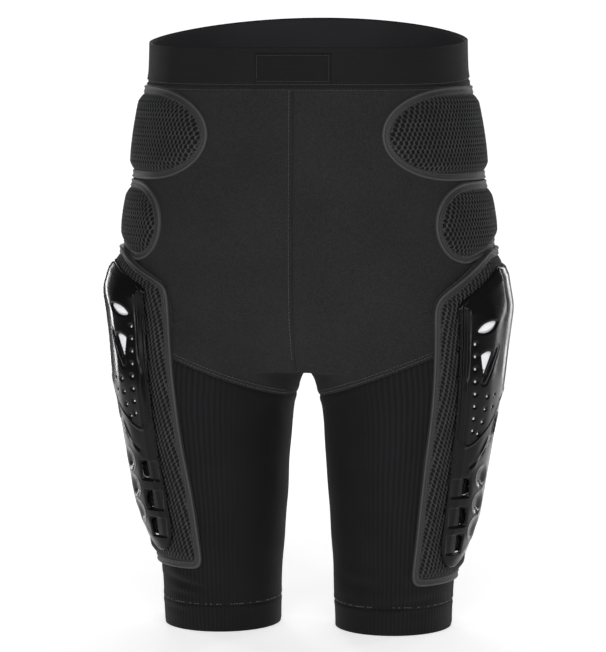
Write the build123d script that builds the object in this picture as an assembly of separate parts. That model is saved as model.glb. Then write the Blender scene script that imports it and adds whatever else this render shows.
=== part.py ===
"""Padded impact shorts: a stretch garment with sewn-on hip, tailbone and thigh protectors.

Frame: +Z up, the front faces -Y, +X is the wearer's left. The origin is on the floor, on the centre plane
and midway between the foremost and rearmost points. The garment has the shape that it takes on the body.
Sizes are in millimetres. The shapes are drawn with the legs' axes at y = 0 and moved into that frame last.
"""

import os
from math import cos, radians, sin

from build123d import *

# --- Garment: heights above the hem's lower edge -----------------------------------------------------------
CUFF_Z = 41.0  # narrowest turn of the leg, above the hem
LOWER_THIGH_Z = 114.0
MID_THIGH_Z = 200.0
CROTCH_Z = 234.0
SEAT_Z = 292.0
HIP_Z = 350.0
BELLY_Z = 425.0
BAND_SEAM_Z = 499.0  # waistband seam, at the side of the body
BAND_HEIGHT = 35.0
RIM_FRONT_DROP = 5.0  # how much lower than the sides the waist rim is at the centre front
RIM_BACK_RISE = 21.0  # how much higher it is at the centre back
HEM_HEIGHT = 24.0
END_SPARE = 60.0  # how far the body's lofts run past the waist rim before they are trimmed
HEM_SPARE = 5.0  # and how far they run below the hem

# --- Garment: half widths (across), half depths (front to back) and centres --------------------------------
WAIST_W, WAIST_D = 145.0, 106.0
BAND_W, BAND_D = 146.5, 107.0
BELLY_W, BELLY_D = 157.0, 111.0
HIP_W, HIP_D = 167.5, 115.0
SEAT_W, SEAT_D = 161.0, 110.0
FORK_W, FORK_D = 112.0, 84.0  # the bottom of the torso, hidden inside the tops of the legs
SEAT_SHIFT = 4.0  # how far back the hips' centre lies, for the buttocks

HEM_X, HEM_W, HEM_D = 79.0, 53.0, 60.0  # a leg's centre, half width and half depth
CUFF_X, CUFF_W, CUFF_D = 79.5, 55.0, 63.0
LOWER_THIGH_X, LOWER_THIGH_W, LOWER_THIGH_D = 81.0, 61.5, 71.5
MID_THIGH_X, MID_THIGH_W, MID_THIGH_D = 84.0, 71.0, 84.0
FORK_X, FORK_LEG_W, FORK_LEG_D = 82.5, 77.0, 88.0  # at the crotch
SEAT_X, SEAT_LEG_W, SEAT_LEG_D = 79.0, 79.0, 86.0  # the leg's top, inside the torso

FABRIC = 2.0  # stretch knit, doubled at the seams
LINING = 1.2  # soft facing inside the waistband
THIGH_SEAM_Z = 208.0  # where the seam between brief and leg would meet the centre plane
THIGH_SEAM_RISE = 0.373  # how steeply that seam climbs outwards

# --- Waist label -------------------------------------------------------------------------------------------
LABEL_W, LABEL_H, LABEL_T = 67.0, 25.0, 0.8
LABEL_ABOVE_SEAM = 2.0

# --- Pads: every pad is a mesh cover over a foam core, edged with a sewn binding ---------------------------
CLEAR = 0.3  # air between a sewn-on layer and what it lies on
MESH = 2.0  # spacer mesh thickness
BINDING_W = 6.0  # binding tape, seen from outside
BINDING_T = 4.0  # how far the binding stands off the fabric
PAD_GAP = 3.0  # between neighbouring pads

HIP_PAD_T = 7.5
UPPER_PAD_H = 82.0
UPPER_PAD_TIP_X = 80.0  # the front tip's distance from the centre plane
UPPER_PAD_NOSE = 62.0  # length of the rounded nose, across
LOWER_PAD_T = 6.0
LOWER_PAD_H = 79.0
LOWER_PAD_TIP_X = 126.0
LOWER_PAD_NOSE = 27.0

GUARD_PAD_T = 9.0
GUARD_LENGTH = 301.0
GUARD_ROOF = 41.0  # height of the pointed top above its shoulders
GUARD_APEX_X = 172.0
GUARD_SHOULDER_X = 123.0
GUARD_MID_X = 117.5  # front edge, halfway down
GUARD_TOE_X = 96.5
GUARD_SHOULDER_R, GUARD_TOE_R = 24.0, 22.0
GUARD_STANDOFF = 1.0  # the thigh pad's back, outside the widest part of the fabric under it

TAIL_PAD_T = 9.0
TAIL_PAD_W, TAIL_PAD_H = 92.0, 150.0
TAIL_PAD_TAPER = 20.0  # how much narrower the lower end is, each side
TAIL_PAD_BELOW_BAND = 46.0
TAIL_PAD_R = 24.0

# --- Thigh shell: moulded plastic cap over a white foam insert ---------------------------------------------
SHELL_WALL = 2.2
SHELL_FLANGE_T = 2.4
SHELL_RISE = 9.5  # crown above the mesh pad
SHELL_STEP = 5.5  # height of the raised border step
SHELL_BORDER = 25.0  # mesh left showing at the front edge, seen from the front
SHELL_APEX_DROP = 14.0  # shell's top below the pad's
SHELL_SHOULDER_X = 147.0
SHELL_MID_X = 141.5
SHELL_TOE_X = 122.0
SHELL_TOE_Z = 11.0  # the shell's lowest point above the pad's lower edge
SHELL_TOE_RISE = 0.55  # slope of the lower edge, outwards and upwards
SHELL_SHOULDER_R, SHELL_TOE_R = 12.0, 11.0
FLANGE_W = 6.0
STEP_W = 5.0

VENT_AZIMUTH = 58.0  # degrees round the thigh from the front, where the vents face
LEAF_DROP, LEAF_L, LEAF_W, LEAF_TILT = 53.0, 30.0, 11.0, 27.0
TRIANGLE_DROP, TRIANGLE_W, TRIANGLE_H = 92.0, 19.0, 25.0
DOT_R, DOT_PITCH = 1.4, 11.0
DOT_COLUMNS = ((-12.0, 81.0, 8), (2.0, 126.0, 4), (12.0, 122.0, 2))  # across, below the apex, count
SLOT_W, SLOT_H, SLOT_PITCH, SLOT_DROP, SLOT_COUNT = 5.0, 14.0, 26.0, 211.0, 3
DIMPLE_W, DIMPLE_H, DIMPLE_DEPTH, DIMPLE_DROP = 24.0, 19.0, 1.0, 203.0
WINDOW_TOP_DROP, WINDOW_HALF_W, WINDOW_SIDE_DROP, WINDOW_LIP_DROP = 137.0, 34.0, 170.0, 159.0

FAR = 400.0  # past everything
RUN_OFF = 230.0  # where outlines that wrap round the side of the body are closed, outside it

# --- Places worked out from the sizes above ----------------------------------------------------------------
WAIST_Z = BAND_SEAM_Z + BAND_HEIGHT
UPPER_PAD_TOP = BAND_SEAM_Z - RIM_FRONT_DROP - 1.0
UPPER_PAD_BOTTOM = UPPER_PAD_TOP - UPPER_PAD_H
LOWER_PAD_TOP = UPPER_PAD_BOTTOM - PAD_GAP
LOWER_PAD_BOTTOM = LOWER_PAD_TOP - LOWER_PAD_H
GUARD_APEX = LOWER_PAD_BOTTOM + 15.0
GUARD_BOTTOM = GUARD_APEX - GUARD_LENGTH
GUARD_SHOULDER = GUARD_APEX - GUARD_ROOF


# --- Body surfaces -----------------------------------------------------------------------------------------
def rings(levels, grow):
    """Ellipses to loft through. Each level is (z, centre x, centre y, half width, half depth)."""
    return [Pos(x, y, z) * Rot(0, 0, 180) * Ellipse(w + grow, d + grow) for z, x, y, w, d in levels]


def torso(grow=0.0):
    """Waist to fork, widened all round by grow."""
    top = WAIST_Z + END_SPARE
    return loft(
        rings(
            [
                (CROTCH_Z + 3 - grow, 0, SEAT_SHIFT, FORK_W, FORK_D),
                (SEAT_Z, 0, SEAT_SHIFT, SEAT_W, SEAT_D),
                (HIP_Z, 0, SEAT_SHIFT, HIP_W, HIP_D),
                (BELLY_Z, 0, SEAT_SHIFT / 2, BELLY_W, BELLY_D),
                (BAND_SEAM_Z, 0, 0, BAND_W, BAND_D),
                (WAIST_Z, 0, 0, WAIST_W, WAIST_D),
                (top, 0, 0, WAIST_W, WAIST_D),
            ],
            grow,
        )
    )


LEG_LEVELS = [
    (-HEM_SPARE, HEM_X, 0, HEM_W, HEM_D),
    (CUFF_Z, CUFF_X, 0, CUFF_W, CUFF_D),
    (LOWER_THIGH_Z, LOWER_THIGH_X, 0, LOWER_THIGH_W, LOWER_THIGH_D),
    (MID_THIGH_Z, MID_THIGH_X, 1, MID_THIGH_W, MID_THIGH_D),
    (CROTCH_Z, FORK_X, 2, FORK_LEG_W, FORK_LEG_D),
]


def leg(grow=0.0):
    """The left leg, from below the hem to inside the torso."""
    return loft(rings(LEG_LEVELS + [(SEAT_Z, SEAT_X, 3, SEAT_LEG_W, SEAT_LEG_D)], grow))


def thigh_side(grow=0.0):
    """The smooth surface that the thigh guard lies on: the leg, carried on up outside the hip."""
    stand = GUARD_STANDOFF + grow
    upper = [
        (SEAT_Z, SEAT_X, 4, SEAT_W - SEAT_X + 3, SEAT_LEG_D + 3),
        (HIP_Z, SEAT_X, 4, HIP_W - SEAT_X + 3, SEAT_LEG_D + 10),
        (HIP_Z + END_SPARE, SEAT_X, 4, HIP_W - SEAT_X + 3, SEAT_LEG_D + 10),
    ]
    return loft(rings(LEG_LEVELS + upper, stand))


# --- Cutting tools -----------------------------------------------------------------------------------------
def front_prism(outline):
    """An outline drawn in the front view, carried right through from front to back."""
    return extrude(Plane.XZ * outline, amount=FAR, both=True)


def side_prism(outline):
    """An outline drawn in the side view, carried outwards from the centre plane on the left."""
    return extrude(Plane.YZ * outline, amount=FAR)


def block(x, y, z):
    """The box between pairs of x, y and z."""
    size = [high - low for low, high in (x, y, z)]
    middle = [(high + low) / 2 for low, high in (x, y, z)]
    return Pos(*middle) * Box(*size)


def below_rim(drop):
    """Everything lower than the waist rim's curve, moved down by drop."""
    z, reach = WAIST_Z - drop, WAIST_D
    rim = ThreePointArc((-reach, z - RIM_FRONT_DROP), (0, z), (reach, z + RIM_BACK_RISE))
    ends = [(reach, z + RIM_BACK_RISE), (FAR, z + RIM_BACK_RISE), (FAR, -FAR), (-FAR, -FAR)]
    ends += [(-FAR, z - RIM_FRONT_DROP), (-reach, z - RIM_FRONT_DROP)]
    return extrude(Plane.YZ * make_face(rim + Polyline(*ends)), amount=FAR, both=True)


def mirrored(shape):
    """The same piece on the wearer's right."""
    return mirror(shape, about=Plane.YZ)


# --- Garment -----------------------------------------------------------------------------------------------
def garment_wall():
    """The whole garment as one wall, open at the waist and the hems."""
    left_out, left_in = leg(), leg(-FABRIC)
    outside = torso() + left_out + mirrored(left_out)
    inside = torso(-FABRIC) + left_in + mirrored(left_in)
    return outside - inside


def garment_panels():
    """The garment cut along its seams. Left and right pieces come as pairs under one name."""
    wall = garment_wall()
    band_zone = below_rim(0) - below_rim(BAND_HEIGHT)
    far_rise = THIGH_SEAM_Z + THIGH_SEAM_RISE * FAR
    seam_corners = [(0, THIGH_SEAM_Z), (FAR, far_rise), (FAR, 2 * FAR), (0, 2 * FAR)]
    above_thigh_seam = front_prism(Polygon(*seam_corners, align=None))
    half = wall & block((0, FAR), (-FAR, FAR), (0, 2 * FAR))
    brief = (half & above_thigh_seam) & below_rim(BAND_HEIGHT)
    lower = half - above_thigh_seam
    leg_tube = lower & block((0, FAR), (-FAR, FAR), (HEM_HEIGHT, FAR))
    front = block((0, FAR), (-FAR, 0), (0, 2 * FAR))
    back = block((0, FAR), (0, FAR), (0, 2 * FAR))
    lining = (torso(-FABRIC) - torso(-FABRIC - LINING)) & band_zone
    single = {"waistband": wall & band_zone, "waistband_lining": lining}
    paired = {
        "brief_front": brief & front,
        "brief_back": brief & back,
        "leg_front": leg_tube & front,
        "leg_back": leg_tube & back,
        "hem_band": lower & block((0, FAR), (-FAR, FAR), (0, HEM_HEIGHT)),
    }
    return single, paired


def waist_label():
    """A plain woven patch at the centre front of the waistband."""
    low = BAND_SEAM_Z - RIM_FRONT_DROP + LABEL_ABOVE_SEAM
    patch = block((-LABEL_W / 2, LABEL_W / 2), (-FAR, 0), (low, low + LABEL_H))
    return (torso(CLEAR + LABEL_T) - torso(CLEAR)) & patch


# --- Soft pads ---------------------------------------------------------------------------------------------
def pad(name, surface, outline, thickness, zone=None):
    """A sewn pad on a body surface, from one outline drawn in the front view: cover, core and binding."""
    cover_line = offset(outline, amount=-BINDING_W)
    core_line = offset(cover_line, amount=-MESH)
    under, over = surface(CLEAR), surface(CLEAR + thickness)
    cover_zone, core_zone, rim_zone = front_prism(cover_line), front_prism(core_line), front_prism(outline)
    if zone is not None:
        cover_zone, core_zone, rim_zone = cover_zone & zone, core_zone & zone, rim_zone & zone
    core = (surface(CLEAR + thickness - MESH) - under) & core_zone
    cover = ((over - under) & cover_zone) - core
    binding = ((surface(CLEAR + BINDING_T) - under) & rim_zone) - cover_zone
    return {f"{name}_cover": cover, f"{name}_foam": core, f"{name}_binding": binding}


def nosed_band(top, height, tip_x, nose):
    """A level band with a near-elliptical nose at the front. It runs off round the side to a matching nose."""
    start, middle = tip_x + nose, top - height / 2
    turns = [radians(angle) for angle in (90, 65, 40, 0, -40, -65, -90)]
    at = [(start - nose * cos(turn), middle + height / 2 * sin(turn)) for turn in turns]
    outline = Polyline(at[6], (RUN_OFF, top - height), (RUN_OFF, top), at[0])
    for i in (0, 2, 4):
        outline += ThreePointArc(at[i], at[i + 1], at[i + 2])
    return make_face(outline)


def upper_hip_outline():
    return nosed_band(UPPER_PAD_TOP, UPPER_PAD_H, UPPER_PAD_TIP_X, UPPER_PAD_NOSE)


def guard_roof_line(z_at_apex, run):
    """A point on a line parallel to the guard's roof, run millimetres in from the apex."""
    slope = GUARD_ROOF / (GUARD_APEX_X - GUARD_SHOULDER_X)
    return GUARD_APEX_X - run, z_at_apex - run * slope


def lower_hip_outline():
    """A short rounded nose, its underside cut parallel to the thigh guard's pointed top."""
    body = nosed_band(LOWER_PAD_TOP, LOWER_PAD_H, LOWER_PAD_TIP_X, LOWER_PAD_NOSE)
    roof = GUARD_APEX + PAD_GAP
    corner = guard_roof_line(roof, GUARD_APEX_X - LOWER_PAD_TIP_X)
    keep_out = Polygon(corner, (GUARD_APEX_X, roof), (FAR, roof), (FAR, 0), (corner[0], 0), align=None)
    return body - keep_out


def guard_outline(apex, apex_x, shoulder, shoulder_x, mid_x, toe, toe_x, toe_slope=0.0):
    """Pointed top, long front edge with a slight belly, rounded toe. The far side runs off round the leg."""
    top = Polyline((RUN_OFF, apex), (apex_x, apex), (shoulder_x, shoulder))
    edge = ThreePointArc((shoulder_x, shoulder), (mid_x, (shoulder + toe) / 2), (toe_x, toe))
    foot = Polyline((toe_x, toe), (RUN_OFF, toe + toe_slope * (RUN_OFF - toe_x)), (RUN_OFF, apex))
    return make_face(top + edge + foot)


def rounded(outline, corners):
    """The outline with the vertex nearest each (x, z, radius) rounded."""
    for x, z, radius in corners:
        near = outline.vertices().sort_by_distance((x, z, 0))[0]
        outline = fillet(near, radius)
    return outline


def guard_pad_outline():
    corners = [(GUARD_SHOULDER_X, GUARD_SHOULDER, GUARD_SHOULDER_R), (GUARD_TOE_X, GUARD_BOTTOM, GUARD_TOE_R)]
    shape = guard_outline(
        GUARD_APEX, GUARD_APEX_X, GUARD_SHOULDER, GUARD_SHOULDER_X, GUARD_MID_X, GUARD_BOTTOM, GUARD_TOE_X
    )
    return rounded(shape, corners)


def shell_outline():
    """The shell's edge: the pad's outline again, drawn in from it, with a slanting toe."""
    apex, toe = GUARD_APEX - SHELL_APEX_DROP, GUARD_BOTTOM + SHELL_TOE_Z
    shoulder = GUARD_SHOULDER - 6
    shape = guard_outline(
        apex, GUARD_APEX_X + 6, shoulder, SHELL_SHOULDER_X, SHELL_MID_X, toe, SHELL_TOE_X, SHELL_TOE_RISE
    )
    return rounded(shape, [(SHELL_SHOULDER_X, shoulder, SHELL_SHOULDER_R), (SHELL_TOE_X, toe, SHELL_TOE_R)])


def tail_pad_outline():
    """A shield with a narrower lower end, on the centre back."""
    top = BAND_SEAM_Z - TAIL_PAD_BELOW_BAND
    low, half = top - TAIL_PAD_H, TAIL_PAD_W / 2
    narrow = half - TAIL_PAD_TAPER
    shape = Polygon((-half, top), (half, top), (narrow, low), (-narrow, low), align=None)
    return fillet(shape.vertices(), TAIL_PAD_R)


# --- Thigh shell -------------------------------------------------------------------------------------------
def stack(line, insets_and_heights):
    """Layers of the thigh surface on top of the mesh pad, each inside its own inset of line."""
    base = CLEAR + GUARD_PAD_T + CLEAR
    under = thigh_side(base)
    return [
        (thigh_side(base + height) - under) & front_prism(offset(line, amount=-inset))
        for inset, height in insets_and_heights
    ]


def vent_plane(drop):
    """A plane facing the vents, its centre on the thigh's axis, drop below the guard's apex."""
    facing = radians(VENT_AZIMUTH)
    normal = (sin(facing), -cos(facing), 0)
    along = (cos(facing), sin(facing), 0)
    return Plane(origin=(MID_THIGH_X, 0, GUARD_APEX - drop), x_dir=along, z_dir=normal)


def vent_cutters():
    """Leaf, triangle, dots and slots of the front half, as one set of cutters."""
    half, bow = LEAF_L / 2, LEAF_W / 2
    leaf = make_face(
        ThreePointArc((-half, 0), (0, bow), (half, 0)) + ThreePointArc((half, 0), (0, -bow), (-half, 0))
    )
    wide, tall = TRIANGLE_W / 2, TRIANGLE_H / 2
    triangle = Polygon((-wide, tall * 0.6), (wide * 0.5, tall), (wide, tall), (0, -tall), align=None)
    cutters = [
        extrude(vent_plane(LEAF_DROP) * Rot(0, 0, LEAF_TILT) * leaf, amount=FAR),
        extrude(vent_plane(TRIANGLE_DROP) * triangle, amount=FAR),
    ]
    for across, drop, count in DOT_COLUMNS:
        for i in range(count):
            hole = Pos(across, 0) * Circle(DOT_R)
            cutters.append(extrude(vent_plane(drop + i * DOT_PITCH) * hole, amount=FAR))
    for i in range(SLOT_COUNT):
        slot = Rectangle(SLOT_W, SLOT_H)
        cutters.append(extrude(vent_plane(SLOT_DROP + i * SLOT_PITCH) * slot, amount=FAR))
    return cutters


def window_cutter():
    """The chevron opening on the outer side, below the perforated part."""
    top, side, lip = (GUARD_APEX - drop for drop in (WINDOW_TOP_DROP, WINDOW_SIDE_DROP, WINDOW_LIP_DROP))
    half, inner = WINDOW_HALF_W, WINDOW_HALF_W - 6
    corners = [(0, top), (half, side), (inner, side - 5), (0, lip), (-inner, side - 5), (-half, side)]
    return side_prism(Polygon(*corners, align=None))


def dimple_cutters():
    """Shallow ovals down the outer side of the lower part."""
    crown = CLEAR + GUARD_PAD_T + CLEAR + SHELL_RISE
    skin = thigh_side(crown + 1) - thigh_side(crown - DIMPLE_DEPTH)
    ovals = [
        side_prism(Pos(0, GUARD_APEX - DIMPLE_DROP - i * SLOT_PITCH) * Ellipse(DIMPLE_W / 2, DIMPLE_H / 2))
        for i in range(SLOT_COUNT)
    ]
    return [skin & oval for oval in ovals]


def thigh_guard():
    """Mesh pad with its core and binding, white foam insert, and the plastic shell."""
    pieces = pad("thigh_pad", thigh_side, guard_pad_outline(), GUARD_PAD_T)
    line = shell_outline()
    step_in, crown_in = FLANGE_W, FLANGE_W + STEP_W
    flange, step, crown = stack(line, [(0, SHELL_FLANGE_T), (step_in, SHELL_STEP), (crown_in, SHELL_RISE)])
    low_hollow, high_hollow = stack(
        line, [(step_in + SHELL_WALL, SHELL_STEP - SHELL_WALL), (crown_in + SHELL_WALL, SHELL_RISE - SHELL_WALL)]
    )
    insert_low, insert = stack(
        line,
        [
            (step_in + SHELL_WALL + CLEAR, SHELL_STEP - SHELL_WALL - CLEAR),
            (crown_in + SHELL_WALL + CLEAR, SHELL_RISE - SHELL_WALL - CLEAR),
        ],
    )
    shell = (flange + step + crown) - (low_hollow + high_hollow)
    front_vents = vent_cutters()
    back_vents = [mirror(cutter, about=Plane.XZ) for cutter in front_vents]
    shell = shell - (front_vents + back_vents + [window_cutter()] + dimple_cutters())
    pieces["thigh_insert"] = insert_low + insert
    pieces["thigh_shell"] = shell
    return pieces


# --- All the parts -----------------------------------------------------------------------------------------
def build():
    single, paired = garment_panels()
    single["waist_label"] = waist_label()
    rear = block((-FAR, FAR), (0, FAR), (0, 2 * FAR))
    single |= pad("tailbone_pad", torso, tail_pad_outline(), TAIL_PAD_T, rear)
    paired |= pad("upper_hip_pad", torso, upper_hip_outline(), HIP_PAD_T)
    paired |= pad("lower_hip_pad", torso, lower_hip_outline(), LOWER_PAD_T)
    paired |= thigh_guard()
    parts = dict(single)
    for name, shape in paired.items():
        parts[f"{name}_left"] = shape
        parts[f"{name}_right"] = mirrored(shape)
    return parts


os.makedirs("parts", exist_ok=True)
parts = build()
boxes = [shape.bounding_box() for shape in parts.values()]
middle_y = (min(box.min.Y for box in boxes) + max(box.max.Y for box in boxes)) / 2
for name, shape in parts.items():
    export_step(Pos(0, -middle_y, 0) * shape, f"parts/{name}.step")
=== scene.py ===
from math import atan, cos, pi, radians, sin, sqrt

import bmesh
import bpy
import numpy as np
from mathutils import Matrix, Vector
from mathutils.kdtree import KDTree
from numpy.linalg import norm


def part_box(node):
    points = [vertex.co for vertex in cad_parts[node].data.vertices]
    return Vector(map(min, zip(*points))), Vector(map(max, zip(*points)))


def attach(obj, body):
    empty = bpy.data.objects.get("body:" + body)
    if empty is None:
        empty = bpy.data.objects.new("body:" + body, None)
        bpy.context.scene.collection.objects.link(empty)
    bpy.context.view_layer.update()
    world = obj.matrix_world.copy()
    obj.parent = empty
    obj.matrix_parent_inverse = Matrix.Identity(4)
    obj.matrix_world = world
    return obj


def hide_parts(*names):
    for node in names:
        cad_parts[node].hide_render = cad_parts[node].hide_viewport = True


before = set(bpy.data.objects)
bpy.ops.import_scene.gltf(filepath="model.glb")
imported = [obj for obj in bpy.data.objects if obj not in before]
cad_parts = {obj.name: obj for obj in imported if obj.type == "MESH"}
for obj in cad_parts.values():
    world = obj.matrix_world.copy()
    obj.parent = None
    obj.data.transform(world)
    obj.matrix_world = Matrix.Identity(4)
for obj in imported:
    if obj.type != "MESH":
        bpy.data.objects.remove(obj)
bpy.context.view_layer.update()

# Lengths are in millimetres until a mesh is made. Shapes are worked out with the legs' axes at y = 0.
MM = 0.001
SCENE = bpy.context.scene
HEM_LOW, HEM_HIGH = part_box("hem_band_left")
AXIS_Y = (HEM_LOW.y + HEM_HIGH.y) / 2
SIDES = {"left": 1, "right": -1}
RNG = np.random.default_rng(7)
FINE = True


# --- Curves and body surfaces ---
def curve(*knots):
    """A smooth function through (z, value) knots."""
    z, v = np.array(knots, float).T
    step = np.diff(v) / np.diff(z)
    slope = np.r_[step[0], (step[:-1] + step[1:]) / 2, step[-1]]

    def at(q):
        q = np.clip(q, z[0], z[-1])
        i = np.clip(np.searchsorted(z, q) - 1, 0, len(z) - 2)
        h = z[i + 1] - z[i]
        t = (q - z[i]) / h
        start = v[i] * (1 + 2 * t) * (1 - t) ** 2 + slope[i] * h * t * (1 - t) ** 2
        return start + v[i + 1] * t * t * (3 - 2 * t) - slope[i + 1] * h * t * t * (1 - t)

    return at


def smooth(x, low, high):
    t = np.clip((x - low) / (high - low), 0, 1)
    return t * t * (3 - 2 * t)


def bell(x, width):
    return np.exp(-((x / width) ** 2))


class Tube:
    """An upright tube of elliptical sections: centre x and y, half width and half depth at each height."""

    def __init__(self, levels, turn=0.0, grow=0.0, lift=0.0):
        z = [row[0] for row in levels]
        self.cx, self.cy, self.a, self.b = (
            curve(*zip(z, [row[i] + (grow if i > 2 else 0) for row in levels])) for i in (1, 2, 3, 4)
        )
        # where flat coordinate 0 lies at each height, in radians from the wearer's left
        self.turn = turn if callable(turn) else lambda z: turn
        self.lift = lift  # how far pieces on the tube sit above their drawn height, below the hips

    def radius(self, z):
        """Millimetres along the tube to one radian round it."""
        return (self.a(z) + self.b(z)) / 2 + 5

    def place(self, flat, z, h=0.0):
        """Points on the tube, h outside it, from millimetres round it (forwards is negative)."""
        phi = self.turn(z) + flat / self.radius(z)
        z = z + self.lift * smooth(z, 346.0, 300.0)
        x = self.cx(z) + (self.a(z) + h) * np.cos(phi)
        y = self.cy(z) + (self.b(z) + h) * np.sin(phi)
        return np.stack([x, y, z + 0 * x], -1)

    def flat_of(self, x, z, h):
        """The flat distance from the side at which the front-view distance x is reached."""
        return self.radius(z) * np.arccos(np.clip((x - self.cx(z)) / (self.a(z) + h), -1, 1))

    def field(self, p):
        x, y, z = p.T
        a, b = self.a(z), self.b(z)
        return (np.hypot((x - self.cx(z)) / a, (y - self.cy(z)) / b) - 1) * np.sqrt(a * b)


LEG_TOP = 292  # where the leg tubes end inside the seat

# Section rows: height, centre x and y, half width, half depth.
LEG_LEVELS = [
    (-30, 79, 0, 53, 60),
    (-5, 79, 0, 53, 60),
    (41, 79.5, 0, 55, 63),
    (114, 81, 0, 61.5, 71.5),
    (200, 84, 1, 71, 84),
    (234, 82.5, 2, 77, 88),
]
TORSO_LEVELS = [
    (200, 0, 4, 98, 74),
    (237, 0, 4, 112, 84),
    (LEG_TOP, 0, 4, 161, 110),
    (350, 0, 4, 167.5, 115),
    (425, 0, 2, 157, 111),
    (499, 0, 0, 146.5, 107),
    (534, 0, 0, 145, 106),
    (600, 0, 0, 145, 106),
]
LEG = Tube(LEG_LEVELS + [(LEG_TOP, 79, 3, 79, 86)])
TORSO = Tube(TORSO_LEVELS)
TAIL = Tube(TORSO_LEVELS, turn=pi / 2)
THIGH_LEVELS = LEG_LEVELS + [(LEG_TOP, 79, 4, 85, 89), (350, 79, 4, 91.5, 96), (410, 79, 4, 91.5, 96)]
THIGH = Tube(THIGH_LEVELS, grow=1.0)
# As worn, the shorts are turned a little on the legs, so the two guards don't sit quite alike.
TWIST = curve((40, 7.3), (80, 7.2), (120, 6.6), (165, 5.2), (211, 4.6), (265, 3.2), (300, 2.5), (345, 2.0))
LIFT = 6.5


def guard_tube(side):
    """The thigh surface that one side's guard follows, turned more towards the hem."""
    return Tube(THIGH_LEVELS, turn=lambda z: np.radians(TWIST(z)) * side, grow=1.0, lift=-LIFT * side)


GUARD_SIDE = {side: guard_tube(side) for side in SIDES.values()}

CROTCH_Z = 240.0
WAIST_Z, BAND_Z = 534.0, 499.0
HEM_Z = 24.0
SEAM_Z, SEAM_RISE = 208.0, 0.373


def rim(y):
    """How much higher the waist rim runs, front to back, than at the side."""
    return 0.000712 * y * y + 0.1226 * y


def blend_min(a, b, k):
    h = np.clip(0.5 + 0.5 * (b - a) / k, 0, 1)
    return b * (1 - h) + a * h - k * h * (1 - h)


def body_field(p):
    """Roughly how far outside the fabric each point is."""
    left, right = LEG.field(p), LEG.field(p * [-1, 1, 1])
    above = p[:, 2] - LEG_TOP
    legs = blend_min(np.maximum(left, above), np.maximum(right, above), 10.0)
    torso = np.maximum(TORSO.field(p), CROTCH_Z - p[:, 2])
    return blend_min(legs, torso, 4 + 14 * bell(p[:, 0], 45))


def body_slope(p, step=0.4):
    moves = np.eye(3) * step
    return np.stack([body_field(p + m) - body_field(p - m) for m in moves], -1) / (2 * step)


def on_body(p, rounds=5):
    """The points moved onto the fabric's surface."""
    p = p.copy()
    for _ in range(rounds):
        slope = body_slope(p)
        p -= (body_field(p) / np.maximum((slope**2).sum(1), 0.05))[:, None] * slope
    return p


def body_normal(p):
    slope = body_slope(p)
    return slope / norm(slope, axis=1)[:, None]


# --- Meshes ---
def placed(name, data):
    """A new object in the scene."""
    piece = bpy.data.objects.new(name, data)
    SCENE.collection.objects.link(piece)
    return piece


def new_mesh(name, points, faces):
    mesh = bpy.data.meshes.new(name)
    mesh.from_pydata(points.tolist(), [], faces)
    return mesh


def make(name, points, faces, material, side=1):
    """A piece from points in millimetres. side -1 mirrors it onto the wearer's right."""
    points = np.asarray(points, float) * [side * MM, MM, MM] + [0, AXIS_Y, 0]
    if side < 0:
        faces = [f[::-1] for f in faces]
    mesh = new_mesh(name, points, faces)
    mesh.update()
    mesh.shade_smooth()
    mesh.materials.append(material)
    return placed(name, mesh)


def bands(rows, columns, around=True, closed=False):
    """Quads between rows of points, round each row or along it, and back to the first row if closed."""
    steps = range(columns if around else columns - 1)
    pairs = [(k * columns, (k + 1) % rows * columns) for k in range(rows if closed else rows - 1)]
    return [[a + i, a + (i + 1) % columns, b + (i + 1) % columns, b + i] for a, b in pairs for i in steps]


def stand_for(piece, slot, *nodes):
    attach(piece, "root")
    if nodes:
        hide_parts(*nodes)
    return piece


def point_value(piece, name, values):
    layer = piece.data.attributes.new(name, "FLOAT", "POINT")
    layer.data.foreach_set("value", np.asarray(values, np.float32).ravel())


def cloth_map(piece, uv):
    """A UV map in metres of cloth, from one (u, v) for each point, in millimetres."""
    layer = piece.data.uv_layers.new(name="Cloth")
    corners = np.zeros(len(piece.data.loops), np.int32)
    piece.data.loops.foreach_get("vertex_index", corners)
    layer.data.foreach_set("uv", (np.asarray(uv, np.float32)[corners] * MM).ravel())


def thicken(piece, thickness):
    """Thickness inwards from the drawn face."""
    solid = piece.modifiers.new("thickness", "SOLIDIFY")
    solid.thickness = thickness * MM
    solid.offset = -1.0
    solid.use_even_offset = False


def coordinates(piece):
    return np.array([v.co for v in piece.data.vertices])


def frozen(piece):
    """The piece with its modifiers applied."""
    graph = bpy.context.evaluated_depsgraph_get()
    mesh = bpy.data.meshes.new_from_object(piece.evaluated_get(graph))
    piece.modifiers.clear()
    old = piece.data
    piece.data = mesh
    bpy.data.meshes.remove(old)
    return piece


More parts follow.
